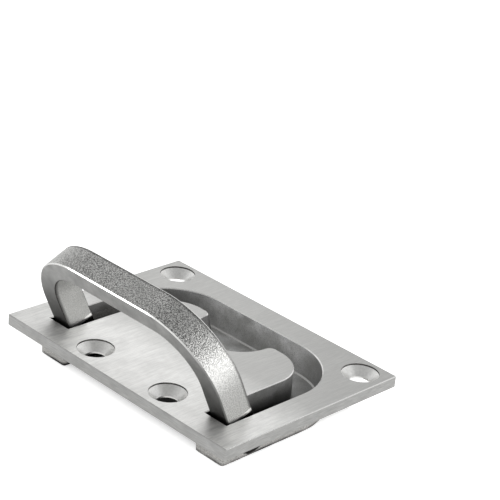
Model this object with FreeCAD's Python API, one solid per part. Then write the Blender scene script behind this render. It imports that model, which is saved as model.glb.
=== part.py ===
import FreeCAD, Part
import math
import os
from FreeCAD import Vector

os.makedirs("parts", exist_ok=True)

# Flush pull handle, cast stainless steel, in millimetres.
# The origin is the centre of the flange's back face, which lies on the panel.
# +Z points out of the panel, +X runs along the pivot axis, and +Y runs from the
# pivots towards the arch of the folded bail.

# Flange
flange_width = 110.0
flange_depth = 80.0
flange_thickness = 4.0
flange_corner_radius = 0.5
flange_edge_break = 0.25

# Screw holes, countersunk in the show face
screw_hole_radius = 3.7
countersink_radius = 6.55
countersink_rim = 0.6
near_screw_x = 18.3
near_screw_inset = 9.1
far_screw_side_inset = 8.9
far_screw_inset = 8.6

# Channel that the bail folds into, open at the show face, with the flange left beside it
flange_side_margin = 10.5
flange_far_margin = 11.1
channel_corner_radius = 24.0
channel_width = 10.0
channel_far_width = 9.4
channel_depth = 11.4
channel_floor_bevel = 0.5
channel_rim_break = 0.3

# Finger scoop bitten out of the island's far edge
scoop_set_back = 2.0
scoop_radius = 15.0
scoop_floor_radius = 10.2
horn_radius = 2.7

# Walls of the channel under the flange
floor_thickness = 2.6
side_wall = 2.0
far_wall = 2.4
near_wall = 2.3
scoop_root_wall = 3.0
scoop_foot_wall = 1.3
outer_draft_deg = 2.0
bay_draft_deg = 5.0
bay_horn_radius = 2.0
foot_edge_bevel = 0.7
leg_corner_radius = 1.6
wall_root_bevel = 0.5

# Pivot pins, welded at both ends
pivot_inset = 21.6
pivot_above_floor = 4.2
pin_radius = 2.4
pin_stand_out = 2.3
pin_end_depth = 1.4
pin_end_flat = 1.0
pin_shoulder_depth = 0.45
pin_shoulder_radius = 1.85
weld_radius = 4.0
weld_height = 0.9
weld_crest_radius = 3.1

# Bail, with its clearances in the channel
bail_side_clearance = 0.5
bail_island_clearance = 1.3
bail_far_clearance = 0.5
bail_arch_clearance = 1.2
bail_near_clearance = 1.0
bail_floor_clearance = 0.3
bail_below_flush = 0.9
bail_corner_ease = 2.3
bail_front_chamfer = 0.4
bail_back_chamfer = 0.3
bail_inner_chamfer = 0.3
bail_bore_clearance = 0.05
bail_open_deg = 114.7
stop_gap = 0.2
eye_length = 8.7
eye_relief = 0.35

# Levels and outlines worked out from the sizes above
near_screw_y = near_screw_inset - flange_depth / 2.0
far_screw_x = flange_width / 2.0 - far_screw_side_inset
far_screw_y = flange_depth / 2.0 - far_screw_inset
channel_half_width = flange_width / 2.0 - flange_side_margin
channel_far_y = flange_depth / 2.0 - flange_far_margin
pivot_y = pivot_inset - flange_depth / 2.0
top_z = flange_thickness
floor_z = top_z - channel_depth
foot_z = floor_z - floor_thickness
pivot_z = floor_z + pivot_above_floor
island_half_width = channel_half_width - channel_width
island_far_y = channel_far_y - channel_far_width
island_corner_radius = channel_corner_radius - channel_width
scoop_centre_y = island_far_y - scoop_set_back
outer_flare = -foot_z * math.tan(math.radians(outer_draft_deg))
bay_taper = -foot_z * math.tan(math.radians(bay_draft_deg))

# The folded bail, measured from its pivot
bail_bottom = bail_floor_clearance - pivot_above_floor
bail_top = channel_depth - pivot_above_floor - bail_below_flush
bail_half_width = channel_half_width - bail_side_clearance
bail_inner_half_width = island_half_width + bail_island_clearance
bail_far_y = channel_far_y - bail_far_clearance
bail_inner_far_y = island_far_y + bail_arch_clearance
bail_outer_corner_radius = channel_corner_radius + bail_corner_ease
bail_inner_corner_radius = island_corner_radius + bail_corner_ease

# The open bail leans over the channel's near end, which stands clear of its front face
open_sin = math.sin(math.radians(bail_open_deg))
open_cos = math.cos(math.radians(bail_open_deg))
open_reach = (bail_top - (top_z - pivot_z) * open_cos) / open_sin
channel_near_y = pivot_y - open_reach - bail_near_clearance

# Cutting bodies run this far past what they cut, and edges are picked within these margins
overrun = 1.0
level_margin = 1e-4
side_margin = 0.1


def u_points(half_width, far_y, corner_radius, near_y):
    """Corner points of a U outline: two straight sides and a far side with round corners."""
    return {
        "near_left": (-half_width, near_y),
        "side_left": (-half_width, far_y - corner_radius),
        "far_left": (-half_width + corner_radius, far_y),
        "far_right": (half_width - corner_radius, far_y),
        "side_right": (half_width, far_y - corner_radius),
        "near_right": (half_width, near_y),
    }


def at(point, z):
    return Vector(point[0], point[1], z)


def line(start, end, z):
    return Part.LineSegment(at(start, z), at(end, z)).toShape()


def arc_about(centre, radius, start_deg, end_deg, z):
    """Arc from one angle to another, passing through the angle half way between."""
    points = []
    for angle in (start_deg, (start_deg + end_deg) / 2.0, end_deg):
        turn = math.radians(angle)
        x = centre[0] + radius * math.cos(turn)
        y = centre[1] + radius * math.sin(turn)
        points.append(Vector(x, y, z))
    return Part.Arc(*points).toShape()


def u_wire(half_width, far_y, corner_radius, near_y, z):
    """Closed U outline at one level."""
    p = u_points(half_width, far_y, corner_radius, near_y)
    centre_y = far_y - corner_radius
    left = (-half_width + corner_radius, centre_y)
    right = (half_width - corner_radius, centre_y)
    return Part.Wire([
        line(p["near_left"], p["side_left"], z),
        arc_about(left, corner_radius, 180.0, 90.0, z),
        line(p["far_left"], p["far_right"], z),
        arc_about(right, corner_radius, 90.0, 0.0, z),
        line(p["side_right"], p["near_right"], z),
        line(p["near_right"], p["near_left"], z),
    ])


def prism(wire, height):
    return Part.Face(wire).extrude(Vector(0, 0, height))


def edges_at_level(shape, z, keep=None):
    """Edges that lie wholly at one height."""
    found = []
    for edge in shape.Edges:
        box = edge.BoundBox
        if abs(box.ZMin - z) < level_margin and abs(box.ZMax - z) < level_margin:
            if keep is None or keep(edge):
                found.append(edge)
    return found


def edge_reach(edge):
    """Furthest distance of an edge from the middle plane between the legs."""
    return max(abs(edge.BoundBox.XMin), abs(edge.BoundBox.XMax))


def flange():
    """Flat plate with softened corners and a fine break round the show face."""
    plate = Part.makeBox(flange_width, flange_depth, flange_thickness,
                         Vector(-flange_width / 2.0, -flange_depth / 2.0, 0))
    uprights = [e for e in plate.Edges if e.BoundBox.ZLength > flange_thickness / 2.0]
    plate = plate.makeFillet(flange_corner_radius, uprights)
    return plate.makeChamfer(flange_edge_break, edges_at_level(plate, top_z))


def is_leg_corner(edge):
    """True for an edge that runs from foot to flange at the near end of a leg."""
    box = edge.BoundBox
    return box.ZLength > -foot_z / 2.0 and box.YMax < channel_near_y


def channel_block():
    """Tapered U block under the flange, which carries the channel and the scoop."""
    half_width = channel_half_width + side_wall
    far_y = channel_far_y + far_wall
    near_y = channel_near_y - near_wall
    corner = channel_corner_radius + side_wall
    foot = u_wire(half_width, far_y, corner, near_y, foot_z)
    root = u_wire(half_width + outer_flare, far_y + outer_flare, corner + outer_flare,
                  near_y - outer_flare, 0.0)
    block = Part.makeLoft([foot, root], True, True).cut(bay())
    uprights = [e for e in block.Edges if is_leg_corner(e)]
    block = block.makeFillet(leg_corner_radius, uprights)
    return block.makeChamfer(foot_edge_bevel, edges_at_level(block, foot_z))


def scoop_cone(low_radius, high_radius, low_z, height):
    """Upright cone about the scoop's axis, with its seam on the near side."""
    foot = Vector(0, scoop_centre_y, low_z)
    up = Vector(0, 0, 1)
    cone = Part.makeCone(low_radius, high_radius, height, foot, up)
    cone.rotate(foot, up, -90)
    return cone


def scoop_bulge():
    """Cone on the underside that encloses the scoop, wide where it meets the flange."""
    return scoop_cone(scoop_floor_radius + scoop_foot_wall, scoop_radius + scoop_root_wall,
                      foot_z, -foot_z)


def is_horn(edge):
    """True for an edge where the scoop breaks through the island's far side."""
    box = edge.BoundBox
    beside_scoop = edge_reach(edge) < scoop_radius + scoop_root_wall + side_margin
    on_far_side = box.YMin > scoop_centre_y - scoop_radius / 2.0
    return beside_scoop and on_far_side and box.ZLength > channel_depth / 2.0


def bay():
    """Open space under the island, between the two legs and round the scoop's bulge."""
    half_width = island_half_width - side_wall
    far_y = island_far_y - side_wall
    corner = island_corner_radius - side_wall
    near_y = channel_near_y - near_wall - overrun
    root = u_wire(half_width, far_y, corner, near_y, 0.0)
    foot = u_wire(half_width + bay_taper, far_y + bay_taper, corner + bay_taper, near_y, foot_z)
    space = Part.makeLoft([foot, root], True, True).cut(scoop_bulge())
    return space.makeFillet(bay_horn_radius, [e for e in space.Edges if is_horn(e)])


def scoop():
    """Tapering finger scoop, from the show face down to the channel floor."""
    slope = (scoop_radius - scoop_floor_radius) / channel_depth
    return scoop_cone(scoop_floor_radius, scoop_radius + slope * overrun,
                      floor_z, channel_depth + overrun)


def island():
    """Solid core that the channel leaves standing, with the scoop bitten out of it."""
    outline = u_wire(island_half_width, island_far_y, island_corner_radius,
                     channel_near_y - overrun, floor_z)
    core = prism(outline, channel_depth + overrun).cut(scoop())
    return core.makeFillet(horn_radius, [e for e in core.Edges if is_horn(e)])


def recess():
    """Channel and scoop as one cutting body, bevelled along the foot of its walls."""
    outline = u_wire(channel_half_width, channel_far_y, channel_corner_radius,
                     channel_near_y, floor_z)
    body = prism(outline, channel_depth + overrun).cut(island()).removeSplitter()
    return body.makeChamfer(channel_floor_bevel, edges_at_level(body, floor_z))


def screw_cutter(x, y):
    """Countersink with a short upright rim, and the clearance hole under it."""
    rim_z = top_z - countersink_rim
    cone_foot_z = rim_z - (countersink_radius - screw_hole_radius)
    profile = Part.makePolygon([
        Vector(0, 0, -overrun),
        Vector(screw_hole_radius, 0, -overrun),
        Vector(screw_hole_radius, 0, cone_foot_z),
        Vector(countersink_radius, 0, rim_z),
        Vector(countersink_radius, 0, top_z + overrun),
        Vector(0, 0, top_z + overrun),
        Vector(0, 0, -overrun),
    ])
    cutter = Part.Face(profile).revolve(Vector(0, 0, 0), Vector(0, 0, 1), 360)
    cutter.translate(Vector(x, y, 0))
    return cutter


def screw_places():
    """Two screws near the pivots, between the legs, and two in the far corners."""
    places = []
    for side in (-1, 1):
        places.append((side * near_screw_x, near_screw_y))
        places.append((side * far_screw_x, far_screw_y))
    return places


def is_recess_rim(edge):
    inside_x = edge_reach(edge) < channel_half_width + side_margin
    return inside_x and edge.BoundBox.YMin > channel_near_y - side_margin


def is_wall_root(edge):
    """True for an edge where the channel block grows out of the flange."""
    inside_x = edge_reach(edge) < channel_half_width + side_wall + outer_flare + side_margin
    near_limit = channel_near_y - near_wall - outer_flare - side_margin
    return inside_x and edge.BoundBox.YMin > near_limit


def casting():
    """Flange, channel block, channel and scoop in one piece, with its screw holes."""
    body = flange().fuse(channel_block()).cut(recess())
    body = body.makeChamfer(channel_rim_break, edges_at_level(body, top_z, is_recess_rim))
    body = body.makeChamfer(wall_root_bevel, edges_at_level(body, 0.0, is_wall_root))
    for x, y in screw_places():
        body = body.cut(screw_cutter(x, y))
    return body


def leg_wall_faces():
    """Distances of a leg's bay wall and outer wall from the middle, at the pivot's height."""
    share = pivot_z / foot_z
    bay_face = island_half_width - side_wall + bay_taper * share
    outer_face = channel_half_width + side_wall + outer_flare * (1.0 - share)
    return bay_face, outer_face


def on_axis(x, radius):
    """Point at a distance from the pivot axis, from which a turned form is revolved."""
    return Vector(x, pivot_y + radius, pivot_z)


def straight(start, end):
    return Part.LineSegment(start, end).toShape()


def turned(corners):
    """Solid turned about the pivot axis from the corners of its half section."""
    ends = corners[1:] + corners[:1]
    section = Part.Face(Part.Wire([straight(start, end) for start, end in zip(corners, ends)]))
    return section.revolve(Vector(0, pivot_y, pivot_z), Vector(1, 0, 0), 360)


def blunt_rod(low_x, high_x):
    """Rod whose ends are melted blunt: a shoulder and a slope round a small flat."""
    return turned([
        on_axis(low_x, 0),
        on_axis(low_x, pin_end_flat),
        on_axis(low_x + pin_shoulder_depth, pin_shoulder_radius),
        on_axis(low_x + pin_end_depth, pin_radius),
        on_axis(high_x - pin_end_depth, pin_radius),
        on_axis(high_x - pin_shoulder_depth, pin_shoulder_radius),
        on_axis(high_x, pin_end_flat),
        on_axis(high_x, 0),
    ])


def weld_bead(wall_x, outward):
    """Raised ring of weld between a wall and the pin, sunk into the wall's line to be cut."""
    sunk_x = wall_x - outward * side_wall / 2.0
    crest_x = wall_x + outward * weld_height
    return turned([
        on_axis(sunk_x, 0),
        on_axis(sunk_x, weld_radius),
        on_axis(wall_x, weld_radius),
        on_axis(crest_x, weld_crest_radius),
        on_axis(crest_x, 0),
    ])


def pivot_pin(side, body):
    """Pin through one leg of the casting, with a weld bead seated on each wall."""
    bay_face, outer_face = leg_wall_faces()
    ends = sorted([side * (bay_face - pin_stand_out), side * (outer_face + pin_stand_out)])
    pin = blunt_rod(ends[0], ends[1])
    for wall_x, outward in ((side * bay_face, -side), (side * outer_face, side)):
        pin = pin.fuse(weld_bead(wall_x, outward).cut(body))
    return pin


def pin_bore(side, radius):
    """Bore along the pivot axis through one leg, from one pin end to the other."""
    bay_face, outer_face = leg_wall_faces()
    ends = sorted([side * (bay_face - pin_stand_out), side * (outer_face + pin_stand_out)])
    return Part.makeCylinder(radius, ends[1] - ends[0], on_axis(ends[0], 0), Vector(1, 0, 0))


def base_plate(body):
    """The casting with its pin bores drilled."""
    return body.cut(pin_bore(-1, pin_radius)).cut(pin_bore(1, pin_radius))


def bail_point(along, above):
    """Point of the folded bail's side view, from the pivot towards the arch and upwards."""
    return Vector(0, pivot_y + along, pivot_z + above)


def bail_side_view():
    """Side view of the folded bail as a slab as wide as the flange.

    The heel is round about the pivot, so it clears the channel floor at every angle.
    The flat above it comes down on the floor when the bail has swung fully open.
    """
    heel = -bail_bottom
    bend = math.sqrt(0.5) * heel
    flat = pivot_above_floor - stop_gap
    flat_low = (heel * open_sin - flat) / open_cos
    flat_top = -(flat + bail_top * open_cos) / open_sin
    far = bail_far_y - pivot_y + overrun
    heel_arc = Part.Arc(bail_point(0, -heel), bail_point(-bend, -bend), bail_point(-heel, 0))
    section = Part.Face(Part.Wire([
        straight(bail_point(far, -heel), bail_point(0, -heel)),
        heel_arc.toShape(),
        straight(bail_point(-heel, 0), bail_point(-heel, flat_low)),
        straight(bail_point(-heel, flat_low), bail_point(flat_top, bail_top)),
        straight(bail_point(flat_top, bail_top), bail_point(far, bail_top)),
        straight(bail_point(far, bail_top), bail_point(far, -heel)),
    ]))
    section.translate(Vector(-flange_width / 2.0, 0, 0))
    return section.extrude(Vector(flange_width, 0, 0))


def bail_bar():
    """U bar of the folded bail at its full thickness, with its long edges chamfered."""
    near_y = pivot_y + bail_bottom - overrun
    low = pivot_z + bail_bottom
    high = pivot_z + bail_top
    outer = u_wire(bail_half_width, bail_far_y, bail_outer_corner_radius, near_y, low)
    inner = u_wire(bail_inner_half_width, bail_inner_far_y, bail_inner_corner_radius,
                   near_y - overrun, low)
    bar = prism(outer, high - low).cut(prism(inner, high - low))

    def is_long(edge):
        return edge.BoundBox.YMax > near_y + side_margin

    def is_outer(edge):
        on_side = edge_reach(edge) > bail_half_width - side_margin
        return is_long(edge) and (on_side or edge.BoundBox.YMax > bail_far_y - side_margin)

    def is_inner(edge):
        return is_long(edge) and not is_outer(edge)

    # The inner edges come first, because an outer chamfer leaves an edge that looks inner
    bar = bar.makeChamfer(bail_inner_chamfer, edges_at_level(bar, high, is_inner))
    bar = bar.makeChamfer(bail_inner_chamfer, edges_at_level(bar, low, is_inner))
    bar = bar.makeChamfer(bail_front_chamfer, edges_at_level(bar, high, is_outer))
    return bar.makeChamfer(bail_back_chamfer, edges_at_level(bar, low, is_outer))


def eye_cutter(side, face_x, outward):
    """Slice that thins one face of a leg over its eye and slopes back to the full width."""
    end = pivot_y + eye_length
    near = pivot_y + bail_bottom - overrun
    low = pivot_z + bail_bottom - overrun
    height = bail_top - bail_bottom + 2.0 * overrun
    cut_x = side * (face_x - outward * eye_relief)
    past_x = side * (face_x + outward * eye_relief)
    profile = Part.makePolygon([
        Vector(cut_x, near, low),
        Vector(cut_x, end, low),
        Vector(past_x, end + 2.0 * eye_relief, low),
        Vector(past_x, near, low),
        Vector(cut_x, near, low),
    ])
    return prism(profile, height)


def pull_bail():
    """U bail, swung open on its pins until it leans back on its stop."""
    body = bail_bar().common(bail_side_view())
    for side in (-1, 1):
        body = body.cut(eye_cutter(side, bail_half_width, 1))
        body = body.cut(eye_cutter(side, bail_inner_half_width, -1))
        body = body.cut(pin_bore(side, pin_radius + bail_bore_clearance))
    body.rotate(Vector(0, pivot_y, pivot_z), Vector(1, 0, 0), bail_open_deg)
    return body


def export_parts():
    body = casting()
    parts = {
        "base_plate": base_plate(body),
        "pivot_pin_left": pivot_pin(-1, body),
        "pivot_pin_right": pivot_pin(1, body),
        "pull_bail": pull_bail(),
    }
    for name, shape in parts.items():
        shape.exportStep(os.path.join("parts", name + ".step"))


export_parts()
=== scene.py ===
import math

import bmesh
import bpy
from mathutils import Matrix, Vector


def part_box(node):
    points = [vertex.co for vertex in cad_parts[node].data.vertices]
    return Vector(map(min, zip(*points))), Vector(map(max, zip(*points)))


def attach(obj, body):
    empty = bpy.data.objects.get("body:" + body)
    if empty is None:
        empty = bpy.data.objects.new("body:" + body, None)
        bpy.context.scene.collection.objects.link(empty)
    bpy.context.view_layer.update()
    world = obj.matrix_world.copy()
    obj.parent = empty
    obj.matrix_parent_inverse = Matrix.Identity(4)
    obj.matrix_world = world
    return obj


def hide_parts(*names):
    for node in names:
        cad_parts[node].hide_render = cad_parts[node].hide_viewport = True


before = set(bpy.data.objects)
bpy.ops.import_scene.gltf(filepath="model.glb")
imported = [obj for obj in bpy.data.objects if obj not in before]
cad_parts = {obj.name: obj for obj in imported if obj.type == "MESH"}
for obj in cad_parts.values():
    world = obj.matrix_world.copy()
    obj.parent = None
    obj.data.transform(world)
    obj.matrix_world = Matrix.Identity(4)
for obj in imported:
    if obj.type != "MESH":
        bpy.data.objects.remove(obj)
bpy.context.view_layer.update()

bl_info = {
    "name": "Flush pull handle",
    "version": (1, 0, 0),
    "blender": (4, 5, 0),
    "location": "3D View > Sidebar > Handle",
    "description": "Dresses a cast flush pull handle and sets it on a pale studio floor",
    "category": "Object",
}

MM = 0.001

# Places on the handle, in its own frame, in millimetres.
PIVOT_Y = -18.4
PIVOT_Z = -3.2
TOP_Z = 4.0
SINK_STEP_Z = 3.4
FLOOR_Z = -7.4
FLOOR_BEVEL_Z = -6.8
FOOT_Z = -10.0
FLOOR_GAP = 0.02
RIM_Z = 3.69
HALF_WIDTH = 55.0
HALF_DEPTH = 40.0
BORE_RADIUS = 2.4
SINK_RADIUS = 6.6
SCREWS = ((-18.3, -30.9), (18.3, -30.9), (-46.1, 31.4), (46.1, 31.4))
SCOOP_HALF_WIDTH = 20.0
BAY_WALL = 32.78
OUTER_WALL = 46.74

# Places nearer than this count as the same, in millimetres.
TOLERANCE = 0.01
# Faces above these heights are the show face and its broken edge.
FACE_Z = TOP_Z - 0.05
BREAK_Z = RIM_Z - 0.04
BREAK_WIDTH = 0.5

# Cosines that sort faces by their slant: square to an axis, a bevel, steep or upright.
SQUARE = 0.99
BEVEL_LOW = 0.3
BEVEL_HIGH = 0.95
STEEP = 0.5
UPRIGHT = 0.1

# The open bail is turned this far, in degrees, from the folded one.
OPEN_DEG = 114.7
# Lengths along the folded bail from its pivot, in millimetres: where the legs' thinned eyes
# end, the slope back to full width, and a point inside the U that its outer sides face away from.
EYE_LENGTH = 8.7
SLOPE_LENGTH = 0.4
EYE_END = EYE_LENGTH + SLOPE_LENGTH
ARCH_CENTRE_Y = 20.0

# Node inputs that turn a place on the open bail back to where it is when folded.
FOLD = {"Center": (0.0, PIVOT_Y * MM, PIVOT_Z * MM), "Angle": math.radians(-OPEN_DEG)}

# Where one finish fades into the next, in millimetres: heights of the painted shade low on the
# open bail's legs where they go into the slots and of the painted shade at the block's foot, and
# distances of the heat tint and of the rubbed band from the pivot.
SLOT_SHADE_LOW_Z = 0.5
SLOT_SHADE_TOP_Z = 5.4
FOOT_SHADE_LOW_Z = -9.0
FOOT_SHADE_TOP_Z = -8.2
HEAT_NEAR = 5.2
HEAT_FAR = 5.7
BAND_START = 7.2
BAND_FULL = 7.9

# Angles in degrees: edges flatter than the first two shade smooth, and faces that turn less
# than the last become one.
SMOOTH_DEG = 28
WELD_SMOOTH_DEG = 50
FLAT_DEG = 0.5

# The photograph's view, fitted to points on the handle.
CAMERA_RIGHT = (0.69665, 0.71167, 0.09058)
CAMERA_UP = (-0.35285, 0.22997, 0.90698)
CAMERA_PLACE = (0.345129, -0.346451, 0.261817)
CAMERA_LENS = 115.94
CAMERA_SENSOR = 36.0

# Each soft lamp's name, its place, width and height in metres, and its power in watts.
LAMPS = (
    ("lamp_back", (-0.11, 0.11, 0.13), 0.14, 0.06, 0.025),
    ("lamp_right", (0.9, 0.35, 0.25), 0.6, 0.5, 2.4),
    ("lamp_front_left", (-0.63, -0.76, 0.13), 0.3, 0.3, 0.7),
)


def linear(hex_colour):
    """An sRGB hex colour as linear values."""
    values = []
    for start in (1, 3, 5):
        share = int(hex_colour[start:start + 2], 16) / 255.0
        if share <= 0.04045:
            values.append(share / 12.92)
        else:
            values.append(((share + 0.055) / 1.055) ** 2.4)
    return tuple(values)


def shade(colour, factor=1.0):
    """A colour property made lighter or darker, as a shader socket takes it."""
    return tuple(min(1.0, channel * factor) for channel in colour[:3]) + (1.0,)


class FinishSettings(bpy.types.PropertyGroup):
    """Colours and grain sizes of the handle's finishes."""
    linished: bpy.props.FloatVectorProperty(
        name="Linished face", description="Colour of the belt-linished show face",
        subtype="COLOR", size=3, default=linear("#CECECC"))
    polished: bpy.props.FloatVectorProperty(
        name="Polished edges", description="Colour of the broken and polished edges",
        subtype="COLOR", size=3, default=linear("#F4F4F2"))
    cast: bpy.props.FloatVectorProperty(
        name="Cast channel", description="Colour of the as-cast channel and scoop",
        subtype="COLOR", size=3, default=linear("#D2D2D0"))
    # This dark colour paints shade and dark reflections: thin lines on edges and steps, the
    # channel's ends, slots, depths and scoop, the block's foot, and the bail's low legs, eyes and
    # edges.
    scale: bpy.props.FloatVectorProperty(
        name="Casting scale", description="Colour of the dark skin left in corners",
        subtype="COLOR", size=3, default=linear("#3C3B3A"))
    blasted: bpy.props.FloatVectorProperty(
        name="Blasted underside", description="Colour of the bead-blasted underside",
        subtype="COLOR", size=3, default=linear("#D0CFCC"))
    bail: bpy.props.FloatVectorProperty(
        name="Blasted bail", description="Colour of the shot-blasted bail",
        subtype="COLOR", size=3, default=linear("#C4C4C2"))
    weld: bpy.props.FloatVectorProperty(
        name="Weld", description="Colour of the heat-tinted weld",
        subtype="COLOR", size=3, default=linear("#2A2726"))
    ball: bpy.props.FloatVectorProperty(
        name="Melted end", description="Colour of the melted end of a pin",
        subtype="COLOR", size=3, default=linear("#A9A6A3"))
    streak_width: bpy.props.FloatProperty(
        name="Streak width", description="Width of a linishing streak",
        default=0.42 * MM, min=0.05 * MM, max=2 * MM, unit="LENGTH", precision=5)
    grain_size: bpy.props.FloatProperty(
        name="Grain size", description="Size of a dimple left by blasting",
        default=0.32 * MM, min=0.05 * MM, max=2 * MM, unit="LENGTH", precision=5)


class WeldSettings(bpy.types.PropertyGroup):
    """Sizes of the weld rings and melted ends."""
    ring_radius: bpy.props.FloatProperty(
        name="Ring radius", description="Radius of the weld ring's crest round the pin",
        default=3.2 * MM, min=2 * MM, max=5 * MM, unit="LENGTH", precision=5)
    ring_thickness: bpy.props.FloatProperty(
        name="Ring thickness", description="Half the width of the weld ring",
        default=0.7 * MM, min=0.2 * MM, max=1.5 * MM, unit="LENGTH", precision=5)
    ripple: bpy.props.FloatProperty(
        name="Ripple", description="Height of the ripples along the weld ring",
        default=0.16 * MM, min=0.0, max=0.5 * MM, unit="LENGTH", precision=5)
    slump: bpy.props.FloatProperty(
        name="Slump", description="How far the melted ends sagged before they set",
        default=0.14 * MM, min=0.0, max=0.5 * MM, unit="LENGTH", precision=5)


class StageSettings(bpy.types.PropertyGroup):
    """Size and colour of the studio floor."""
    floor_size: bpy.props.FloatProperty(
        name="Floor size", description="Length of one side of the studio floor",
        default=12.0, min=1.0, max=50.0, unit="LENGTH")
    floor_colour: bpy.props.FloatVectorProperty(
        name="Floor", description="Colour of the pale studio floor",
        subtype="COLOR", size=3, default=linear("#F6F6F6"))


def add_node(tree, kind, inputs=None, give=0, ramp=(), **settings):
    """Adds a node with its settings, values, links and colour stops; gives one output."""
    node = tree.nodes.new("ShaderNode" + kind)
    for name, value in settings.items():
        setattr(node, name, value)
    for index, (position, colour) in enumerate(ramp):
        stops = node.color_ramp.elements
        stop = stops[index] if index < 2 else stops.new(position)
        stop.position = position
        stop.color = colour
    for key, value in (inputs or {}).items():
        if isinstance(value, bpy.types.NodeSocket):
            tree.links.new(value, node.inputs[key])
        else:
            node.inputs[key].default_value = value
    return node.outputs[give] if node.outputs else None


def new_finish(name):
    """An empty material with its node tree and the object's own coordinates."""
    material = bpy.data.materials.new(name)
    material.use_nodes = True
    tree = material.node_tree
    tree.nodes.clear()
    return material, tree, add_node(tree, "TexCoord", give="Object")


def linished_stainless(finish):
    """Belt-linished stainless steel: short soft streaks, and a painted sheen that brightens the
    near side.

    A belt's scratches are usually under 0.2 mm wide, which the render would lose, so they are
    drawn coarser.
    """
    material, tree, place = new_finish("linished_stainless")
    width = finish.streak_width
    along = add_node(tree, "VectorMath", {0: place, 1: (width, 12 * width, width)},
                     operation="DIVIDE")
    fine = add_node(tree, "TexNoise", {"Vector": along, "Scale": 1.0, "Detail": 3.0,
                                       "Roughness": 0.7})
    broad = add_node(tree, "TexNoise", {"Vector": along, "Scale": 0.35, "Detail": 3.0})
    streak = add_node(tree, "Mix", {0: 0.3, 2: fine, 3: broad})
    cloud = add_node(tree, "TexNoise", {"Vector": place, "Scale": 1 / (7 * MM), "Detail": 4.0,
                                        "Roughness": 0.6})
    tone = add_node(tree, "ValToRGB", {0: streak}, ramp=(
        (0.4, shade(finish.linished, 0.88)), (0.6, shade(finish.linished, 1.04))))
    worn = add_node(tree, "MapRange", {0: cloud, 1: 0.35, 2: 0.7, 4: 0.4})
    tone = add_node(tree, "Mix", {0: worn, 6: tone, 7: shade(finish.linished, 0.88)},
                    give=2, data_type="RGBA")
    # Painted sheen: the near side is mixed towards a bright polished tone, with a ragged edge.
    bright = add_node(tree, "ValToRGB", {0: streak}, ramp=(
        (0.4, shade(finish.polished, 0.88)), (0.6, shade(finish.polished, 1.08))))
    near = add_node(tree, "SeparateXYZ", {0: place}, give="Y")
    near = add_node(tree, "MapRange", {0: near, 1: 0.0, 2: -18 * MM, 3: 0.0, 4: 0.95})
    ragged = add_node(tree, "MapRange", {0: cloud, 1: 0.3, 2: 0.7, 3: 1.2, 4: 0.7})
    rubbed = add_node(tree, "Math", {0: near, 1: ragged}, operation="MULTIPLY")
    tone = add_node(tree, "Mix", {0: rubbed, 6: tone, 7: bright}, give=2, data_type="RGBA")
    dull = add_node(tree, "MapRange", {0: streak, 1: 0.35, 2: 0.65, 3: 0.44, 4: 0.54})
    relief = add_node(tree, "Bump", {"Height": streak, "Distance": 0.03 * MM,
                                     "Strength": 0.6})
    across = add_node(tree, "CombineXYZ", {"X": 1.0})
    steel = add_node(tree, "BsdfPrincipled", {
        "Metallic": 1.0, "Base Color": tone, "Roughness": dull, "Anisotropic": 0.6,
        "Normal": relief, "Tangent": across})
    add_node(tree, "OutputMaterial", {"Surface": steel})
    return material


def polished_edge(finish):
    """Polished stainless steel on broken edges: a thin bright line along each face."""
    material, tree, place = new_finish("polished_edge")
    wear = add_node(tree, "TexNoise", {"Vector": place, "Scale": 1 / (1.5 * MM),
                                       "Detail": 3.0})
    tone = add_node(tree, "ValToRGB", {0: wear}, ramp=(
        (0.5, shade(finish.polished)), (0.75, shade(finish.polished, 0.8))))
    dull = add_node(tree, "MapRange", {0: wear, 1: 0.3, 2: 0.7, 3: 0.18, 4: 0.34})
    steel = add_node(tree, "BsdfPrincipled", {
        "Metallic": 1.0, "Base Color": tone, "Roughness": dull})
    add_node(tree, "OutputMaterial", {"Surface": steel})
    return material


def painted_shade_edge(finish):
    """Painted shade and dark reflection: a thin dull dark line on the countersinks' steps and on
    the bail's inner edges and eye slopes.
    """
    material, tree, place = new_finish("painted_shade_edge")
    wear = add_node(tree, "TexNoise", {"Vector": place, "Scale": 1 / (1.2 * MM),
                                       "Detail": 3.0})
    tone = add_node(tree, "ValToRGB", {0: wear}, ramp=(
        (0.35, shade(finish.scale, 1.6)), (0.7, shade(finish.scale, 3.0))))
    steel = add_node(tree, "BsdfPrincipled", {
        "Metallic": 1.0, "Base Color": tone, "Roughness": 0.5})
    add_node(tree, "OutputMaterial", {"Surface": steel})
    return material


def ground_side(finish):
    """Ground stainless steel on the flange's sides: satin, with short level marks."""
    material, tree, place = new_finish("ground_side")
    width = finish.streak_width
    along = add_node(tree, "VectorMath", {0: place, 1: (12 * width, 12 * width, width)},
                     operation="DIVIDE")
    marks = add_node(tree, "TexNoise", {"Vector": along, "Scale": 1.0, "Detail": 4.0,
                                        "Roughness": 0.65})
    cloud = add_node(tree, "TexNoise", {"Vector": place, "Scale": 1 / (5 * MM), "Detail": 3.0})
    tone = add_node(tree, "ValToRGB", {0: marks}, ramp=(
        (0.35, shade(finish.linished, 0.66)), (0.65, shade(finish.linished, 0.92))))
    worn = add_node(tree, "MapRange", {0: cloud, 1: 0.35, 2: 0.7, 4: 0.45})
    tone = add_node(tree, "Mix", {0: worn, 6: tone, 7: shade(finish.linished, 0.6)},
                    give=2, data_type="RGBA")
    relief = add_node(tree, "Bump", {"Height": marks, "Distance": 0.03 * MM, "Strength": 0.6})
    steel = add_node(tree, "BsdfPrincipled", {
        "Metallic": 1.0, "Base Color": tone, "Roughness": 0.42, "Normal": relief})
    add_node(tree, "OutputMaterial", {"Surface": steel})
    return material


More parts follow.
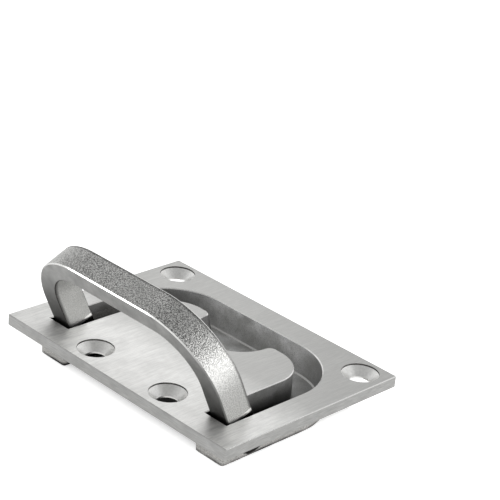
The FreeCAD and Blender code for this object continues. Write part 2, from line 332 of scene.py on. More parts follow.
def as_cast_channel(finish):
    """As-cast stainless steel: dull and cloudy, with painted shade at the ends, slots, depths and
    scoop.
    """
    material, tree, place = new_finish("as_cast_channel")
    grain = add_node(tree, "TexNoise", {"Vector": place, "Scale": 1 / finish.grain_size,
                                        "Detail": 3.0, "Roughness": 0.7})
    cloud = add_node(tree, "TexNoise", {"Vector": place, "Scale": 1 / (6 * MM), "Detail": 4.0,
                                        "Roughness": 0.6})
    tone = add_node(tree, "ValToRGB", {0: cloud}, ramp=(
        (0.34, shade(finish.cast, 1.1)), (0.66, shade(finish.cast, 1.65))))
    speck = add_node(tree, "MapRange", {0: grain, 1: 0.45, 2: 0.7, 4: 0.5})
    tone = add_node(tree, "Mix", {0: speck, 6: tone, 7: shade(finish.cast, 0.5)},
                    give=2, data_type="RGBA")
    # Painted shade: darker towards the channel's ends.
    across = add_node(tree, "VectorMath", {0: place}, operation="ABSOLUTE")
    across = add_node(tree, "SeparateXYZ", {0: across}, give="X")
    ends = add_node(tree, "MapRange", {0: across, 1: 20 * MM, 2: 37 * MM, 3: 0.0, 4: 0.55})
    tone = add_node(tree, "Mix", {0: ends, 6: tone, 7: shade(finish.scale)},
                    give=2, data_type="RGBA")
    # Painted shade: near black at the slots' near ends, and deep down, less so towards the far
    # end.
    along = add_node(tree, "SeparateXYZ", {0: place}, give="Y")
    height = add_node(tree, "SeparateXYZ", {0: place}, give="Z")
    slot = add_node(tree, "MapRange", {0: along, 1: -19 * MM, 2: -12 * MM, 3: 1.0, 4: 0.0})
    deep = add_node(tree, "MapRange", {0: height, 1: -4.2 * MM, 2: 0.5 * MM, 3: 1.0, 4: 0.0})
    beside = add_node(tree, "MapRange", {0: along, 1: 0.0, 2: 22 * MM, 3: 0.9, 4: 0.15})
    deep = add_node(tree, "Math", {0: deep, 1: beside}, operation="MULTIPLY")
    dark = add_node(tree, "Math", {0: slot, 1: deep}, operation="MAXIMUM")
    tone = add_node(tree, "Mix", {0: dark, 6: tone, 7: shade(finish.scale, 0.1)},
                    give=2, data_type="RGBA")
    # Painted shade on the scoop's side walls.
    scoop = add_node(tree, "MapRange", {0: across, 1: SCOOP_HALF_WIDTH * MM,
                                        2: (SCOOP_HALF_WIDTH + 1) * MM, 3: 0.8, 4: 0.0})
    facing = add_node(tree, "TexCoord", give="Normal")
    facing = add_node(tree, "VectorMath", {0: facing}, operation="ABSOLUTE")
    facing = add_node(tree, "SeparateXYZ", {0: facing}, give="X")
    facing = add_node(tree, "MapRange", {0: facing, 1: 0.3, 2: 0.6})
    scoop = add_node(tree, "Math", {0: scoop, 1: facing}, operation="MULTIPLY")
    tone = add_node(tree, "Mix", {0: scoop, 6: tone, 7: shade(finish.scale)},
                    give=2, data_type="RGBA")
    dull = add_node(tree, "MapRange", {0: cloud, 1: 0.3, 2: 0.7, 3: 0.55, 4: 0.72})
    relief = add_node(tree, "Mix", {0: 0.7, 2: grain, 3: cloud})
    relief = add_node(tree, "Bump", {"Height": relief, "Distance": 0.12 * MM, "Strength": 0.8})
    steel = add_node(tree, "BsdfPrincipled", {
        "Metallic": 1.0, "Base Color": tone, "Roughness": dull, "Normal": relief})
    add_node(tree, "OutputMaterial", {"Surface": steel})
    return material


def turned_sink(finish):
    """Turned stainless steel: bright and grainy, with the rings that the countersink left."""
    material, tree, place = new_finish("turned_sink")
    height = add_node(tree, "SeparateXYZ", {0: place}, give="Z")
    rings = add_node(tree, "Math", {0: height, 1: 2 * math.pi / (0.28 * MM)},
                     operation="MULTIPLY")
    rings = add_node(tree, "Math", {0: rings}, operation="SINE")
    wear = add_node(tree, "TexNoise", {"Vector": place, "Scale": 1 / (0.7 * MM),
                                       "Detail": 4.0, "Roughness": 0.65})
    tone = add_node(tree, "ValToRGB", {0: wear}, ramp=(
        (0.36, shade(finish.polished, 1.1)), (0.68, shade(finish.polished, 0.95))))
    relief = add_node(tree, "Mix", {0: 0.5, 2: rings, 3: wear})
    relief = add_node(tree, "Bump", {"Height": relief, "Distance": 0.02 * MM,
                                     "Strength": 0.6})
    steel = add_node(tree, "BsdfPrincipled", {
        "Metallic": 1.0, "Base Color": tone, "Roughness": 0.36, "Normal": relief})
    add_node(tree, "OutputMaterial", {"Surface": steel})
    return material


def blasted_underside(finish):
    """Bead-blasted cast stainless steel: pale and matt, heat-tinted round the welds, with painted
    shade along the block's foot.
    """
    material, tree, place = new_finish("blasted_underside")
    grain = add_node(tree, "TexNoise", {"Vector": place, "Scale": 1 / finish.grain_size,
                                        "Detail": 3.0, "Roughness": 0.65})
    cloud = add_node(tree, "TexNoise", {"Vector": place, "Scale": 1 / (7 * MM),
                                        "Detail": 3.0})
    tone = add_node(tree, "ValToRGB", {0: grain}, ramp=(
        (0.38, shade(finish.blasted, 0.45)), (0.58, shade(finish.blasted, 1.1))))
    worn = add_node(tree, "MapRange", {0: cloud, 1: 0.4, 2: 0.7, 4: 0.35})
    tone = add_node(tree, "Mix", {0: worn, 6: tone, 7: shade(finish.blasted, 0.7)},
                    give=2, data_type="RGBA")
    away = add_node(tree, "VectorMath", {0: place, 1: (0.0, PIVOT_Y * MM, PIVOT_Z * MM)},
                    operation="SUBTRACT")
    away = add_node(tree, "VectorMath", {0: away, 1: (0.0, 1.0, 1.0)}, operation="MULTIPLY")
    away = add_node(tree, "VectorMath", {0: away}, give="Value", operation="LENGTH")
    ragged = add_node(tree, "MapRange", {0: cloud, 1: 0.3, 2: 0.7, 3: 0.85, 4: 1.15})
    away = add_node(tree, "Math", {0: away, 1: ragged}, operation="MULTIPLY")
    heat = add_node(tree, "MapRange", {0: away, 1: HEAT_NEAR * MM, 2: HEAT_FAR * MM,
                                       3: 1.0, 4: 0.0})
    tone = add_node(tree, "Mix", {0: heat, 6: tone, 7: shade(finish.weld, 0.6)},
                    give=2, data_type="RGBA")
    # Painted shade: a dark, patchy band along the bottom of the channel block.
    height = add_node(tree, "SeparateXYZ", {0: place}, give="Z")
    foot = add_node(tree, "MapRange", {0: height, 1: FOOT_SHADE_LOW_Z * MM,
                                       2: FOOT_SHADE_TOP_Z * MM, 3: 1.0, 4: 0.0})
    patchy = add_node(tree, "MapRange", {0: cloud, 1: 0.35, 2: 0.6, 3: 0.35, 4: 1.0})
    foot = add_node(tree, "Math", {0: foot, 1: patchy}, operation="MULTIPLY")
    tone = add_node(tree, "Mix", {0: foot, 6: tone, 7: shade(finish.scale, 0.5)},
                    give=2, data_type="RGBA")
    relief = add_node(tree, "Bump", {"Height": grain, "Distance": 0.1 * MM, "Strength": 0.8})
    steel = add_node(tree, "BsdfPrincipled", {
        "Metallic": 1.0, "Base Color": tone, "Roughness": 0.55, "Normal": relief})
    add_node(tree, "OutputMaterial", {"Surface": steel})
    return material


def worn_edge(finish):
    """Stainless steel polished by hands: a white line round the grip, partly a painted highlight,
    dull down the legs.
    """
    material, tree, place = new_finish("worn_edge")
    wear = add_node(tree, "TexNoise", {"Vector": place, "Scale": 1 / (1.5 * MM),
                                       "Detail": 3.0})
    # White edge at the grip, fading down the legs: hand polish, and partly a painted highlight.
    height = add_node(tree, "SeparateXYZ", {0: place}, give="Z")
    grip = add_node(tree, "MapRange", {0: height, 1: 24 * MM, 2: 34 * MM})
    ragged = add_node(tree, "MapRange", {0: wear, 1: 0.6, 2: 0.72, 3: 1.0, 4: 0.6})
    grip = add_node(tree, "Math", {0: grip, 1: ragged}, operation="MULTIPLY")
    tone = add_node(tree, "Mix", {0: grip, 6: shade(finish.bail, 0.55),
                                  7: shade(finish.polished)}, give=2, data_type="RGBA")
    dull = add_node(tree, "MapRange", {0: grip, 3: 0.45, 4: 0.2})
    steel = add_node(tree, "BsdfPrincipled", {
        "Metallic": 1.0, "Base Color": tone, "Roughness": dull})
    add_node(tree, "OutputMaterial", {"Surface": steel})
    return material


def with_slot_shade(tree, place, tone, finish):
    """A tone darkened low on the open bail's legs: painted shade where they go into the slots."""
    height = add_node(tree, "SeparateXYZ", {0: place}, give="Z")
    slot_shade = add_node(tree, "MapRange", {0: height, 1: SLOT_SHADE_LOW_Z * MM,
                                        2: SLOT_SHADE_TOP_Z * MM, 3: 1.0, 4: 0.0})
    return add_node(tree, "Mix", {0: slot_shade, 6: tone, 7: shade(finish.scale, 0.5)},
                    give=2, data_type="RGBA")


def blasted_bail(finish):
    """Shot-blasted cast stainless steel: close dark dimples that sparkle where light hits.

    The real dimples are about 0.2 mm; they are drawn coarser, or the render would lose them.
    """
    material, tree, place = new_finish("blasted_bail")
    grain = add_node(tree, "TexNoise", {"Vector": place, "Scale": 0.8 / finish.grain_size,
                                        "Detail": 1.0, "Roughness": 0.6})
    cloud = add_node(tree, "TexNoise", {"Vector": place, "Scale": 1 / (9 * MM),
                                        "Detail": 3.0})
    tone = add_node(tree, "ValToRGB", {0: grain}, ramp=(
        (0.42, shade(finish.bail, 0.36)), (0.58, shade(finish.bail, 1.48))))
    worn = add_node(tree, "MapRange", {0: cloud, 1: 0.35, 2: 0.7, 4: 0.35})
    tone = add_node(tree, "Mix", {0: worn, 6: tone, 7: shade(finish.bail, 0.75)},
                    give=2, data_type="RGBA")
    # Smoother and lighter at the upper-left corner and on the right leg: rubbed smoother there,
    # and on the leg also a painted highlight.
    across = add_node(tree, "SeparateXYZ", {0: place}, give="X")
    smooth = add_node(tree, "MapRange", {0: across, 1: -40 * MM, 2: -22 * MM,
                                         3: 0.8, 4: 0.0})
    leg = add_node(tree, "MapRange", {0: across, 1: 36 * MM, 2: 43 * MM, 4: 0.55})
    smooth = add_node(tree, "Math", {0: smooth, 1: leg}, operation="MAXIMUM")
    tone = add_node(tree, "Mix", {0: smooth, 6: tone, 7: shade(finish.bail, 1.15)},
                    give=2, data_type="RGBA")
    # Painted shade low on the legs, at the slots.
    tone = with_slot_shade(tree, place, tone, finish)
    # Painted shade: a thin dark line along the back edge of the outer faces.
    folded = add_node(tree, "VectorRotate", {"Vector": place, **FOLD}, rotation_type="X_AXIS")
    back = add_node(tree, "SeparateXYZ", {0: folded}, give="Z")
    back = add_node(tree, "MapRange", {0: back, 1: -6.5 * MM, 2: -6.0 * MM, 3: 0.6, 4: 0.0})
    tone = add_node(tree, "Mix", {0: back, 6: tone, 7: shade(finish.scale)},
                    give=2, data_type="RGBA")
    dull = add_node(tree, "MapRange", {0: grain, 1: 0.3, 2: 0.7, 3: 0.34, 4: 0.48})
    depth = add_node(tree, "MapRange", {0: smooth, 2: 0.8, 3: 1.0, 4: 0.3})
    relief = add_node(tree, "Bump", {"Height": grain, "Distance": 0.24 * MM,
                                     "Strength": depth})
    steel = add_node(tree, "BsdfPrincipled", {
        "Metallic": 1.0, "Base Color": tone, "Roughness": dull, "Normal": relief})
    add_node(tree, "OutputMaterial", {"Surface": steel})
    return material


def satin_bail(finish):
    """Cast stainless steel rubbed satin: soft cloudy grey with a faint grain."""
    material, tree, place = new_finish("satin_bail")
    grain = add_node(tree, "TexNoise", {"Vector": place, "Scale": 1 / finish.grain_size,
                                        "Detail": 2.0, "Roughness": 0.6})
    cloud = add_node(tree, "TexNoise", {"Vector": place, "Scale": 1 / (6 * MM),
                                        "Detail": 4.0, "Roughness": 0.6})
    tone = add_node(tree, "ValToRGB", {0: cloud}, ramp=(
        (0.3, shade(finish.bail, 0.52)), (0.7, shade(finish.bail, 0.9))))
    speck = add_node(tree, "MapRange", {0: grain, 1: 0.35, 2: 0.65, 4: 0.25})
    tone = add_node(tree, "Mix", {0: speck, 6: tone, 7: shade(finish.bail, 0.75)},
                    give=2, data_type="RGBA")
    # Painted shade: darker towards the bottom of the open bail's legs.
    height = add_node(tree, "SeparateXYZ", {0: place}, give="Z")
    low_shade = add_node(tree, "MapRange", {0: height, 1: 8 * MM, 2: 30 * MM, 3: 0.82, 4: 0.0})
    tone = add_node(tree, "Mix", {0: low_shade, 6: tone, 7: shade(finish.scale)},
                    give=2, data_type="RGBA")
    # Painted shade low on the legs, at the slots.
    tone = with_slot_shade(tree, place, tone, finish)
    relief = add_node(tree, "Bump", {"Height": grain, "Distance": 0.04 * MM, "Strength": 0.5})
    steel = add_node(tree, "BsdfPrincipled", {
        "Metallic": 1.0, "Base Color": tone, "Roughness": 0.42, "Normal": relief})
    add_node(tree, "OutputMaterial", {"Surface": steel})
    return material


def rubbed_inside(finish):
    """Blasted stainless steel rubbed by fingers: pale grey with a fine soft grain."""
    material, tree, place = new_finish("rubbed_inside")
    grain = add_node(tree, "TexNoise", {"Vector": place, "Scale": 1 / finish.grain_size,
                                        "Detail": 2.0, "Roughness": 0.7})
    cloud = add_node(tree, "TexNoise", {"Vector": place, "Scale": 1 / (5 * MM),
                                        "Detail": 3.0})
    tone = add_node(tree, "ValToRGB", {0: grain}, ramp=(
        (0.36, shade(finish.bail, 0.76)), (0.64, shade(finish.bail, 1.25))))
    worn = add_node(tree, "MapRange", {0: cloud, 1: 0.35, 2: 0.7, 4: 0.35})
    tone = add_node(tree, "Mix", {0: worn, 6: tone, 7: shade(finish.bail, 0.85)},
                    give=2, data_type="RGBA")
    # Painted shade low on the legs, at the slots.
    tone = with_slot_shade(tree, place, tone, finish)
    # Painted dark reflection: a dark band along the front edge of the inner faces.
    folded = add_node(tree, "VectorRotate", {"Vector": place, **FOLD}, rotation_type="X_AXIS")
    depth = add_node(tree, "SeparateXYZ", {0: folded}, give="Z")
    edge = add_node(tree, "MapRange", {0: depth, 1: 1.7 * MM, 2: 2.5 * MM, 4: 0.7})
    tone = add_node(tree, "Mix", {0: edge, 6: tone, 7: shade(finish.scale)},
                    give=2, data_type="RGBA")
    relief = add_node(tree, "Bump", {"Height": grain, "Distance": 0.07 * MM, "Strength": 0.7})
    steel = add_node(tree, "BsdfPrincipled", {
        "Metallic": 1.0, "Base Color": tone, "Roughness": 0.45, "Normal": relief})
    add_node(tree, "OutputMaterial", {"Surface": steel})
    return material


def eye_side(finish):
    """Rubbed stainless steel beside the pin: a bright band, then near black, painted shade inside
    the slot.
    """
    material, tree, place = new_finish("eye_side")
    folded = add_node(tree, "VectorRotate", {"Vector": place, **FOLD}, rotation_type="X_AXIS")
    length = add_node(tree, "SeparateXYZ", {0: folded}, give="Y")
    cloud = add_node(tree, "TexNoise", {"Vector": place, "Scale": 1 / (1.5 * MM),
                                        "Detail": 3.0})
    rubbed = add_node(tree, "MapRange", {0: length, 1: (PIVOT_Y + BAND_START) * MM,
                                         2: (PIVOT_Y + BAND_FULL) * MM})
    # Painted shade: near black close to the pin, inside the slot.
    slot_shade_tone = add_node(tree, "ValToRGB", {0: cloud}, ramp=(
        (0.35, shade(finish.scale, 0.1)), (0.7, shade(finish.scale, 0.8))))
    tone = add_node(tree, "Mix", {0: rubbed, 6: slot_shade_tone, 7: shade(finish.polished, 1.1)},
                    give=2, data_type="RGBA")
    steel = add_node(tree, "BsdfPrincipled", {
        "Metallic": 1.0, "Base Color": tone, "Roughness": 0.3})
    add_node(tree, "OutputMaterial", {"Surface": steel})
    return material


def weld_metal(finish):
    """Heat-tinted weld metal: nearly black, with a greasy shine and straw patches."""
    material, tree, place = new_finish("weld_metal")
    cloud = add_node(tree, "TexNoise", {"Vector": place, "Scale": 1 / (1.2 * MM),
                                        "Detail": 3.0})
    tone = add_node(tree, "ValToRGB", {0: cloud}, ramp=(
        (0.4, shade(finish.weld)), (0.75, shade(finish.weld, 4.0))))
    relief = add_node(tree, "Bump", {"Height": cloud, "Distance": 0.1 * MM, "Strength": 0.6})
    steel = add_node(tree, "BsdfPrincipled", {
        "Metallic": 1.0, "Base Color": tone, "Roughness": 0.35, "Normal": relief})
    add_node(tree, "OutputMaterial", {"Surface": steel})
    return material


def melted_end(finish):
    """Stainless steel melted to a ball: smooth grey, with darker heat marks."""
    material, tree, place = new_finish("melted_end")
    cloud = add_node(tree, "TexNoise", {"Vector": place, "Scale": 1 / (1.5 * MM),
                                        "Detail": 3.0})
    tone = add_node(tree, "ValToRGB", {0: cloud}, ramp=(
        (0.4, shade(finish.ball)), (0.65, shade(finish.ball, 0.25))))
    relief = add_node(tree, "Bump", {"Height": cloud, "Distance": 0.05 * MM, "Strength": 0.5})
    steel = add_node(tree, "BsdfPrincipled", {
        "Metallic": 1.0, "Base Color": tone, "Roughness": 0.3, "Normal": relief})
    add_node(tree, "OutputMaterial", {"Surface": steel})
    return material


def deselect():
    """Leaves no object selected, so that a new one is edited alone."""
    bpy.ops.object.select_all(action="DESELECT")


def activate(piece):
    """Makes one object the only one selected."""
    deselect()
    piece.select_set(True)
    bpy.context.view_layer.objects.active = piece


def merged_copy(node, name):
    """A copy of a CAD node's mesh with its loose triangles joined into whole faces."""
    piece = bpy.data.objects.new(name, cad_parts[node].data.copy())
    bpy.context.scene.collection.objects.link(piece)
    activate(piece)
    piece.data.materials.clear()
    bpy.ops.mesh.customdata_custom_splitnormals_clear()
    bpy.ops.object.mode_set(mode="EDIT")
    bpy.ops.mesh.select_all(action="SELECT")
    bpy.ops.mesh.remove_doubles(threshold=0.001 * MM)
    bpy.ops.mesh.dissolve_limited(angle_limit=math.radians(FLAT_DEG))
    bpy.ops.object.mode_set(mode="OBJECT")
    bpy.ops.object.shade_smooth_by_angle(angle=math.radians(SMOOTH_DEG), keep_sharp_edges=False)
    return piece


def paint(piece, materials, finish_of):
    """Gives each face of a piece the material that finish_of names for it."""
    names = list(materials)
    for name in names:
        piece.data.materials.append(materials[name])
    for face in piece.data.polygons:
        face.material_index = names.index(finish_of(face))


def near_axis(place, reach):
    """True for a place within a distance of the pivot axis, in millimetres."""
    return math.hypot(place.y - PIVOT_Y, place.z - PIVOT_Z) < reach


def in_sink(place):
    """True for a place in one of the screw holes or their countersinks."""
    return any(math.hypot(place.x - x, place.y - y) < SINK_RADIUS for x, y in SCREWS)


def pocket_faces(mesh):
    """Indices of the faces of the channel and scoop, spread out from the channel's floor."""
    body = bmesh.new()
    body.from_mesh(mesh)
    body.faces.ensure_lookup_table()
    start = None
    for face in body.faces:
        place = face.calc_center_median() / MM
        if abs(place.z - FLOOR_Z) < TOLERANCE and face.normal.z > SQUARE:
            start = face
    found = {start.index}
    waiting = [start]
    while waiting:
        for edge in waiting.pop().edges:
            at_rim = min(vert.co.z for vert in edge.verts) > RIM_Z * MM
            for face in edge.link_faces:
                place = face.calc_center_median() / MM
                at_bore = near_axis(place, BORE_RADIUS + TOLERANCE)
                if at_rim or at_bore or face.index in found:
                    continue
                found.add(face.index)
                waiting.append(face)
    body.free()
    return found


class HANDLE_OT_casting(bpy.types.Operator):
    """Dress the casting: linished face, cast channel, turned sinks, blasted underside."""
    bl_idname = "handle.casting"
    bl_label = "Casting"

    def execute(self, context):
        finish = context.scene.handle_finish
        piece = merged_copy("base_plate", "casting")
        # The legs' near ends are flush with the flange's side, so a cut parts the two finishes.
        bpy.ops.object.mode_set(mode="EDIT")
        bpy.ops.mesh.select_all(action="SELECT")
        bpy.ops.mesh.bisect(plane_co=(0, 0, 0), plane_no=(0, 0, 1))
        bpy.ops.object.mode_set(mode="OBJECT")
        pocket = pocket_faces(piece.data)

        def finish_of(face):
            """Names a face's finish by its place and slant on the casting."""
            place = face.center / MM
            across = abs(face.normal.x) > abs(face.normal.y)
            if face.normal.z > SQUARE and place.z > FACE_Z:
                return "linished"
            # The countersinks' upright step takes the dark edge finish: painted shade.
            if in_sink(place) and -TOLERANCE < place.z < TOP_Z:
                return "dull" if place.z > SINK_STEP_Z else "turned"
            # Breaks along the long near and far edges take the darker side finish: a painted dark
            # reflection.
            if place.z > BREAK_Z and face.normal.z > BEVEL_LOW:
                painted_dark_break = abs(place.y) > HALF_DEPTH - BREAK_WIDTH and not across
                return "side" if painted_dark_break else "polished"
            if face.index in pocket:
                bevel = BEVEL_LOW < face.normal.z < BEVEL_HIGH
                return "linished" if bevel and place.z < FLOOR_BEVEL_Z else "cast"
            if place.z > TOLERANCE and abs(face.normal.z) < UPRIGHT:
                return "side"
            return "blasted"

        paint(piece, {
            "linished": linished_stainless(finish),
            "polished": polished_edge(finish),
            "dull": painted_shade_edge(finish),
            "side": ground_side(finish),
            "cast": as_cast_channel(finish),
            "turned": turned_sink(finish),
            "blasted": blasted_underside(finish),
        }, finish_of)
        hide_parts("base_plate")
        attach(piece, "base")
        return {"FINISHED"}


class HANDLE_OT_bail(bpy.types.Operator):
    """Dress the bail: blasted outside, satin faces, rubbed inside and polished long edges."""
    bl_idname = "handle.bail"
    bl_label = "Bail"

    def execute(self, context):
        finish = context.scene.handle_finish
        piece = merged_copy("pull_bail", "bail")
        pivot = Vector((0.0, PIVOT_Y, PIVOT_Z))
        fold = Matrix.Rotation(math.radians(-OPEN_DEG), 3, "X")

        def finish_of(face):
            """Names a face's finish by its place and slant on the folded bail."""
            normal = fold @ face.normal
            place = fold @ (face.center / MM - pivot)
            outward = normal.x * place.x + normal.y * (place.y - ARCH_CENTRE_Y) > 0.0
            slant = abs(normal.z)
            at_eye = place.y < EYE_END
            if at_eye and abs(normal.x) > SQUARE:
                return "eye"
            # Eye slopes and inner bevels take the dark edge finish: painted shade and dark
            # reflection.
            if at_eye and abs(normal.x) > STEEP and normal.y < -STEEP:
                return "dull"
            if BEVEL_LOW < slant < BEVEL_HIGH:
                return "worn" if outward else "dull"
            if normal.z < -BEVEL_HIGH:
                return "rubbed"
            if slant > BEVEL_HIGH or at_eye:
                return "satin"
            return "blasted" if outward else "rubbed"

        paint(piece, {
            "blasted": blasted_bail(finish),
            "rubbed": rubbed_inside(finish),
            "satin": satin_bail(finish),
            "worn": worn_edge(finish),
            "eye": eye_side(finish),
            "dull": painted_shade_edge(finish),
        }, finish_of)
        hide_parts("pull_bail")
        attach(piece, "bail")
        return {"FINISHED"}


class HANDLE_OT_pins(bpy.types.Operator):
    """Model the two pivot pins, with their melted ends and rippled weld rings."""
    bl_idname = "handle.pins"
    bl_label = "Pins"

    # Steps of a melted end: how far each ring lies from the one before, and its scale.
    END_STEPS = ((0.10, 0.84), (0.30, 1.18), (0.55, 1.0), (0.45, 0.86), (0.35, 0.7),
                 (0.15, 0.5))
    END_LENGTH = sum(advance for advance, _ in END_STEPS)
    RING_STEPS = 60
    RIPPLE_EVERY = 3

    def execute(self, context):
        finish = context.scene.handle_finish
        weld = context.scene.handle_weld
        axis = Vector((0.0, PIVOT_Y * MM, PIVOT_Z * MM))
        parts = [self.rod(weld, axis)]
        parts += [self.ring(weld, axis, wall) for wall in (BAY_WALL, OUTER_WALL)]
        for part in parts:
            part.data.materials.append(melted_end(finish))
            part.data.materials.append(weld_metal(finish))
        for part in parts[1:]:
            for face in part.data.polygons:
                face.material_index = 1
        deselect()
        for part in parts:
            part.select_set(True)
        left = bpy.context.view_layer.objects.active = parts[0]
        bpy.ops.object.join()
        bpy.ops.object.shade_smooth_by_angle(angle=math.radians(WELD_SMOOTH_DEG))
        right = left.copy()
        right.data = left.data.copy()
        bpy.context.scene.collection.objects.link(right)
        activate(right)
        bpy.ops.object.mode_set(mode="EDIT")
        bpy.ops.mesh.select_all(action="SELECT")
        bpy.ops.transform.resize(value=(-1, 1, 1), center_override=(0, 0, 0))
        bpy.ops.mesh.normals_make_consistent(inside=False)
        bpy.ops.object.mode_set(mode="OBJECT")
        for piece, side in ((left, "left"), (right, "right")):
            piece.name = "pin_" + side
            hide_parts("pivot_pin_" + side)
            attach(piece, "base")
        return {"FINISHED"}

    def finish_edit(self, piece):
        """Rounds a part with one applied subdivision."""
        bpy.ops.object.mode_set(mode="OBJECT")
        bpy.ops.object.modifier_add(type="SUBSURF")
        piece.modifiers[0].levels = 1
        piece.modifiers[0].render_levels = 1
        bpy.ops.object.modifier_apply(modifier=piece.modifiers[0].name)
        return piece

    def rod(self, weld, axis):
        """The left pin's rod, with a groove and a sagging melted ball at each end."""
        low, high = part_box("pivot_pin_left")
        middle = (low.x + high.x) / 2.0
        length = high.x - low.x - 2 * self.END_LENGTH * MM
        deselect()
        bpy.ops.mesh.primitive_cylinder_add(
            vertices=32, radius=BORE_RADIUS * MM, depth=length,
            location=(middle, axis.y, axis.z), rotation=(0, math.pi / 2, 0))
        rod = bpy.context.object
        bpy.ops.object.transform_apply(location=True, rotation=True, scale=True)
        bpy.ops.object.mode_set(mode="EDIT")
        for outward in (-1, 1):
            self.pick(rod, lambda x: outward * (x - middle) > length * 0.49, faces=True)
            for advance, scale in self.END_STEPS:
                bpy.ops.mesh.extrude_region_move(
                    TRANSFORM_OT_translate={"value": (outward * advance * MM, 0, 0)})
                bpy.ops.transform.resize(value=(1, scale, scale), center_override=axis)
            self.pick(rod, lambda x: outward * (x - middle) > length / 2.0 + 0.2 * MM)
            bpy.ops.transform.translate(value=(0, 0, -weld.slump))
        return self.finish_edit(rod)

    def ring(self, weld, axis, wall):
        """A weld ring on one of the left leg's walls, with ripples like stacked coins."""
        deselect()
        bpy.ops.mesh.primitive_torus_add(
            major_segments=self.RING_STEPS, minor_segments=12, major_radius=weld.ring_radius,
            minor_radius=weld.ring_thickness, location=(-wall * MM, axis.y, axis.z),
            rotation=(0, math.pi / 2, 0))
        ring = bpy.context.object
        bpy.ops.object.transform_apply(location=True, rotation=True, scale=True)
        bpy.ops.object.mode_set(mode="EDIT")
        body = bmesh.from_edit_mesh(ring.data)
        for vert in body.verts:
            turn = math.atan2(vert.co.z - axis.z, vert.co.y - axis.y)
            step = round(turn / math.radians(360 / self.RING_STEPS))
            vert.select_set(step % self.RIPPLE_EVERY == 0)
        body.select_flush_mode()
        bmesh.update_edit_mesh(ring.data)
        bpy.ops.transform.shrink_fatten(value=weld.ripple)
        return self.finish_edit(ring)

    def pick(self, piece, wanted, faces=False):
        """Selects the faces or points of a piece in edit mode by their place along the axis."""
        bpy.ops.mesh.select_all(action="DESELECT")
        body = bmesh.from_edit_mesh(piece.data)
        if faces:
            for face in body.faces:
                face.select_set(all(wanted(vert.co.x) for vert in face.verts))
        else:
            for vert in body.verts:
                vert.select_set(wanted(vert.co.x))
            body.select_flush(True)
        bmesh.update_edit_mesh(piece.data)


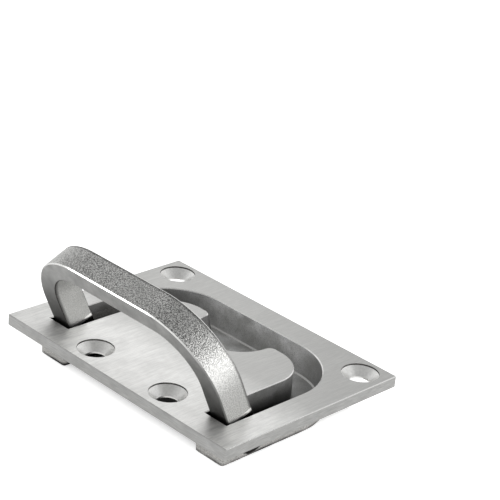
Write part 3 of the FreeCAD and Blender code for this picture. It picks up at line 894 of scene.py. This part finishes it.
class HANDLE_OT_stage(bpy.types.Operator):
    """Set the handle on a pale floor under soft lamps, with the camera in front of it."""
    bl_idname = "handle.stage"
    bl_label = "Stage"

    def execute(self, context):
        self.floor(context.scene.handle_stage)
        self.world(context)
        self.lamps()
        self.camera(context)
        context.scene.view_settings.view_transform = "Standard"
        return {"FINISHED"}

    def floor(self, settings):
        """A flat floor at the foot of the channel block, white where no shadow falls."""
        deselect()
        bpy.ops.mesh.primitive_plane_add(size=settings.floor_size,
                                         location=(0, 0, (FOOT_Z - FLOOR_GAP) * MM))
        floor = bpy.context.object
        floor.name = "floor"
        bpy.ops.object.transform_apply(location=True, rotation=True, scale=True)
        material, tree, place = new_finish("matt_paper")
        away = add_node(tree, "VectorMath", {0: place}, operation="ABSOLUTE")
        away = add_node(tree, "VectorMath",
                        {0: away, 1: (HALF_WIDTH * MM, HALF_DEPTH * MM, 0.0)},
                        operation="SUBTRACT")
        across = add_node(tree, "SeparateXYZ", {0: away}, give="X")
        along = add_node(tree, "SeparateXYZ", {0: away}, give="Y")
        outside = add_node(tree, "Math", {0: across, 1: along}, operation="MAXIMUM")
        # Under the flange, where little light gets, the floor doesn't glow and its colour is
        # darkened: a painted shadow.
        lit = add_node(tree, "MapRange", {0: outside, 1: -18 * MM, 2: -8 * MM})
        seen = add_node(tree, "LightPath", give="Is Camera Ray")
        mirrored = add_node(tree, "LightPath", give="Is Glossy Ray")
        through = add_node(tree, "LightPath", give="Is Transmission Ray")
        mirrored = add_node(tree, "Math", {0: mirrored, 1: through}, operation="MAXIMUM")
        mirrored = add_node(tree, "Math", {0: mirrored, 1: 0.3}, operation="MULTIPLY")
        seen = add_node(tree, "Math", {0: seen, 1: 0.8}, operation="MULTIPLY")
        glow = add_node(tree, "Math", {0: seen, 1: mirrored}, operation="MAXIMUM")
        glow = add_node(tree, "Math", {0: glow, 1: lit}, operation="MULTIPLY")
        glow = add_node(tree, "Emission", {"Strength": glow})
        tone = add_node(tree, "Mix", {0: lit, 6: shade(settings.floor_colour, 0.15),
                                      7: shade(settings.floor_colour)},
                        give=2, data_type="RGBA")
        paper = add_node(tree, "BsdfDiffuse", {"Color": tone})
        both = add_node(tree, "AddShader", {0: paper, 1: glow})
        add_node(tree, "OutputMaterial", {"Surface": both})
        floor.data.materials.append(material)

    def world(self, context):
        """A pale room: white to the eye, bright low down and dimmer overhead."""
        world = bpy.data.worlds.new("pale_room")
        context.scene.world = world
        world.use_nodes = True
        tree = world.node_tree
        tree.nodes.clear()
        seen = add_node(tree, "LightPath", give="Is Camera Ray")
        place = add_node(tree, "TexCoord", give="Generated")
        height = add_node(tree, "SeparateXYZ", {0: place}, give="Z")
        walls = add_node(tree, "MapRange", {0: height, 1: 0.42, 2: 0.8, 3: 0.9, 4: 0.36})
        strength = add_node(tree, "Math", {0: walls, 1: seen}, operation="MAXIMUM")
        sky = add_node(tree, "Background", {"Color": (1.0, 1.0, 1.0, 1.0),
                                            "Strength": strength})
        add_node(tree, "OutputWorld", {"Surface": sky})

    def lamps(self):
        """Soft lamps: a faint one behind, a strong one on the right and one in front."""
        for name, place, width, height, power in LAMPS:
            deselect()
            aim = (-Vector(place)).to_track_quat("-Z", "Y").to_euler()
            bpy.ops.object.light_add(type="AREA", location=place, rotation=aim)
            lamp = bpy.context.object
            lamp.name = name
            lamp.visible_camera = False
            lamp.data.shape = "ELLIPSE"
            lamp.data.size = width
            lamp.data.size_y = height
            lamp.data.energy = power

    def camera(self, context):
        """The photograph's long lens and slightly rolled view from the front right."""
        right = Vector(CAMERA_RIGHT)
        up = Vector(CAMERA_UP)
        back = right.cross(up)
        lens = bpy.data.cameras.new("camera")
        lens.sensor_width = CAMERA_SENSOR
        lens.lens = CAMERA_LENS
        lens.clip_start = 0.01
        camera = bpy.data.objects.new("camera", lens)
        context.scene.collection.objects.link(camera)
        turn = Matrix((right, up, back)).transposed().to_4x4()
        camera.matrix_world = Matrix.Translation(CAMERA_PLACE) @ turn
        context.scene.camera = camera


class HANDLE_PT_panel(bpy.types.Panel):
    """Lists the handle's pieces, finishes and stage."""
    bl_idname = "HANDLE_PT_panel"
    bl_label = "Flush pull handle"
    bl_space_type = "VIEW_3D"
    bl_region_type = "UI"
    bl_category = "Handle"

    def draw(self, context):
        layout = self.layout
        for operator in OPERATORS:
            layout.operator(operator.bl_idname)
        for settings in (context.scene.handle_finish, context.scene.handle_weld,
                         context.scene.handle_stage):
            box = layout.box()
            for name in settings.__annotations__:
                box.prop(settings, name)


OPERATORS = (HANDLE_OT_casting, HANDLE_OT_bail, HANDLE_OT_pins, HANDLE_OT_stage)
SETTINGS = (("handle_finish", FinishSettings), ("handle_weld", WeldSettings),
            ("handle_stage", StageSettings))


def register():
    for name, group in SETTINGS:
        bpy.utils.register_class(group)
        setattr(bpy.types.Scene, name, bpy.props.PointerProperty(type=group))
    for item in OPERATORS + (HANDLE_PT_panel,):
        bpy.utils.register_class(item)


def unregister():
    for item in reversed(OPERATORS + (HANDLE_PT_panel,)):
        bpy.utils.unregister_class(item)
    for name, group in reversed(SETTINGS):
        delattr(bpy.types.Scene, name)
        bpy.utils.unregister_class(group)


def main():
    register()
    bpy.ops.handle.casting()
    bpy.ops.handle.bail()
    bpy.ops.handle.pins()
    bpy.ops.handle.stage()


if __name__ == "__main__":
    main()
